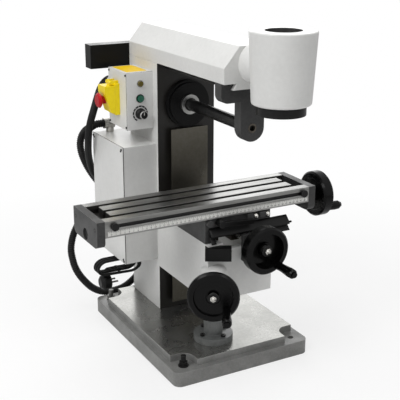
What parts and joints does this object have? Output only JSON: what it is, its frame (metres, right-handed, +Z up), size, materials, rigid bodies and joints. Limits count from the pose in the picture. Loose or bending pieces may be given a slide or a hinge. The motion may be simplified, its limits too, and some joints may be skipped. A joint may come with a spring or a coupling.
{
  "type": "milling machine",
  "caption": "Benchtop milling machine with a horizontal arbor under an overarm, a swivelling vertical head, and a slotted table on a saddle and knee moved by handwheels.",
  "frame": {"origin": "on the floor under the middle of the base casting", "axes": "+X to the operator's right along the table, +Y from the operator towards the column, +Z up"},
  "size_m": [0.6736, 0.7239, 0.788],
  "materials": {
    "grey_paint": "hammered satin paint",
    "white_paint": "satin powder coat",
    "black_paint": "satin paint",
    "dark_iron": "ground and oiled",
    "ground_steel": "ground",
    "turned_steel": "turned bright",
    "black_steel": "black oxide",
    "black_plastic": "moulded",
    "wheel_plastic": "moulded gloss",
    "black_rubber": "matt",
    "yellow_plastic": "moulded gloss",
    "red_plastic": "moulded gloss",
    "green_plastic": "moulded gloss",
    "amber_lens": "clear lens",
    "bronze": "turned",
    "scale_strip": "satin",
    "nickel": "plated"
  },
  "bodies": {
    "frame": {"base": "grey_paint", "column": "white_paint", "column_back_plate": "black_paint", "overarm": "white_paint", "spindle_housing": "black_paint", "spindle_bearings": "turned_steel", "drive_motor": "black_paint", "drive_belt": "black_rubber", "rear_cover": "black_paint", "cabinet": "white_paint", "cabinet_cover": "white_paint", "control_box": "white_paint", "control_panel": "white_paint", "panel_screws": "black_steel", "indicator_lamp": "amber_lens", "switch_base": "yellow_plastic", "cable_glands": "nickel", "upper_hose": "black_plastic", "conduit": "black_plastic", "lower_hose": "black_plastic", "mains_lead": "black_rubber", "mains_plug": "black_plastic", "lift_pedestal": "grey_paint", "frame_bolts": "black_steel"},
    "spindle": {"spindle": "turned_steel", "arbor": "black_steel", "spindle_pulley": "ground_steel"},
    "motor_rotor": {"motor_pulley": "ground_steel"},
    "arbor_support": {"arbor_bracket": "dark_iron", "bracket_bush": "bronze"},
    "vertical_head": {"head": "white_paint", "head_bearings": "turned_steel", "spindle_cap": "black_paint"},
    "quill": {"vertical_spindle": "turned_steel"},
    "knee": {"knee": "white_paint", "knee_gib": "dark_iron", "cross_bracket": "black_paint", "gear_cover": "black_rubber"},
    "lift_wheel": {"lift_handwheel": "wheel_plastic", "crank_shaft": "turned_steel"},
    "lift_handle": {"lift_grip": "black_plastic"},
    "lift_screw": {"lift_screw": "turned_steel"},
    "cross_wheel": {"cross_handwheel": "wheel_plastic", "cross_screw": "turned_steel"},
    "cross_handle": {"cross_grip": "black_plastic"},
    "saddle": {"saddle": "dark_iron", "way_cover": "black_rubber", "screw_nuts": "bronze"},
    "saddle_clamp": {"saddle_lock": "black_paint"},
    "table": {"table": "ground_steel", "table_ends": "dark_iron", "table_stops": "black_plastic", "table_ruler": "scale_strip"},
    "feed_wheel": {"feed_handwheel": "wheel_plastic", "feed_screw": "turned_steel"},
    "feed_handle": {"feed_grip": "black_plastic"},
    "speed_knob": {"speed_knob": "black_plastic"},
    "start_button": {"start_button": "green_plastic"},
    "switch_flap": {"switch_flap": "yellow_plastic"},
    "stop_button": {"stop_button": "red_plastic"}
  },
  "joints": [
    {"name": "knee_slide", "type": "slide", "parent": "frame", "child": "knee", "axis": [0, 0, 1], "range_m": [-0.03, 0.085]},
    {"name": "saddle_slide", "type": "slide", "parent": "knee", "child": "saddle", "axis": [0, 1, 0], "range_m": [-0.008, 0.08]},
    {"name": "table_slide", "type": "slide", "parent": "saddle", "child": "table", "axis": [1, 0, 0], "range_m": [-0.06, 0.19]},
    {"name": "lift_wheel_turn", "type": "hinge", "parent": "knee", "child": "lift_wheel", "pos_m": [-0.035, -0.1455, 0.207], "axis": [-0.5, -0.866, 0], "range_deg": [-15300, 5400]},
    {"name": "lift_screw_turn", "type": "hinge", "parent": "knee", "child": "lift_screw", "pos_m": [-0.035, -0.1455, 0.19], "axis": [0, 0, 1], "range_deg": [-7650, 2700]},
    {"name": "cross_wheel_turn", "type": "hinge", "parent": "knee", "child": "cross_wheel", "pos_m": [0.029, -0.2455, 0.3005], "axis": [0, -1, 0], "range_deg": [-11520, 1152]},
    {"name": "feed_wheel_turn", "type": "hinge", "parent": "table", "child": "feed_wheel", "pos_m": [0.2415, -0.133, 0.3615], "axis": [1, 0, 0], "range_deg": [-8640, 27360]},
    {"name": "lift_handle_turn", "type": "hinge", "parent": "lift_wheel", "child": "lift_handle", "pos_m": [-0.0845, -0.29013, 0.1743], "axis": [-0.5, -0.866, 0], "continuous": true},
    {"name": "cross_handle_turn", "type": "hinge", "parent": "cross_wheel", "child": "cross_handle", "pos_m": [0.05424, -0.3045, 0.26446], "axis": [0, -1, 0], "continuous": true},
    {"name": "feed_handle_turn", "type": "hinge", "parent": "feed_wheel", "child": "feed_handle", "pos_m": [0.3005, -0.12536, 0.31817], "axis": [1, 0, 0], "continuous": true},
    {"name": "spindle_turn", "type": "hinge", "parent": "frame", "child": "spindle", "pos_m": [0, 0.1, 0.573], "axis": [0, 1, 0], "continuous": true},
    {"name": "motor_turn", "type": "hinge", "parent": "frame", "child": "motor_rotor", "pos_m": [0, 0.18, 0.408], "axis": [0, 1, 0], "continuous": true},
    {"name": "head_swivel", "type": "hinge", "parent": "frame", "child": "vertical_head", "pos_m": [0, -0.26, 0.712], "axis": [0, 1, 0], "range_deg": [-45, 45]},
    {"name": "quill_turn", "type": "hinge", "parent": "vertical_head", "child": "quill", "pos_m": [0, -0.3465, 0.68], "axis": [0, 0, 1], "continuous": true},
    {"name": "bracket_slide", "type": "slide", "parent": "frame", "child": "arbor_support", "axis": [0, 1, 0], "range_m": [-0.008, 0.004]},
    {"name": "saddle_clamp_turn", "type": "hinge", "parent": "saddle", "child": "saddle_clamp", "pos_m": [-0.0515, -0.2, 0.3573], "axis": [0, -1, 0], "range_deg": [0, 75]},
    {"name": "speed_knob_turn", "type": "hinge", "parent": "frame", "child": "speed_knob", "pos_m": [-0.1095, 0.07, 0.5535], "axis": [0, -1, 0], "range_deg": [-270, 0]},
    {"name": "start_button_press", "type": "slide", "parent": "frame", "child": "start_button", "axis": [0, 1, 0], "range_m": [0, 0.003], "stiffness_N_per_m": 400},
    {"name": "switch_flap_lift", "type": "hinge", "parent": "frame", "child": "switch_flap", "pos_m": [-0.1593, 0.1375, 0.6225], "axis": [0, 1, 0], "range_deg": [0, 95]},
    {"name": "stop_button_press", "type": "slide", "parent": "switch_flap", "child": "stop_button", "axis": [1, 0, 0], "range_m": [0, 0.004], "stiffness_N_per_m": 600}
  ],
  "couplings": [
    {"joint": "lift_wheel_turn", "follows": "knee_slide", "rad_per_m": -3141.6},
    {"joint": "lift_screw_turn", "follows": "knee_slide", "rad_per_m": -1570.8},
    {"joint": "cross_wheel_turn", "follows": "saddle_slide", "rad_per_m": -2513.3},
    {"joint": "feed_wheel_turn", "follows": "table_slide", "rad_per_m": 2513.3},
    {"joint": "motor_turn", "follows": "spindle_turn", "ratio": 1.6667}
  ]
}
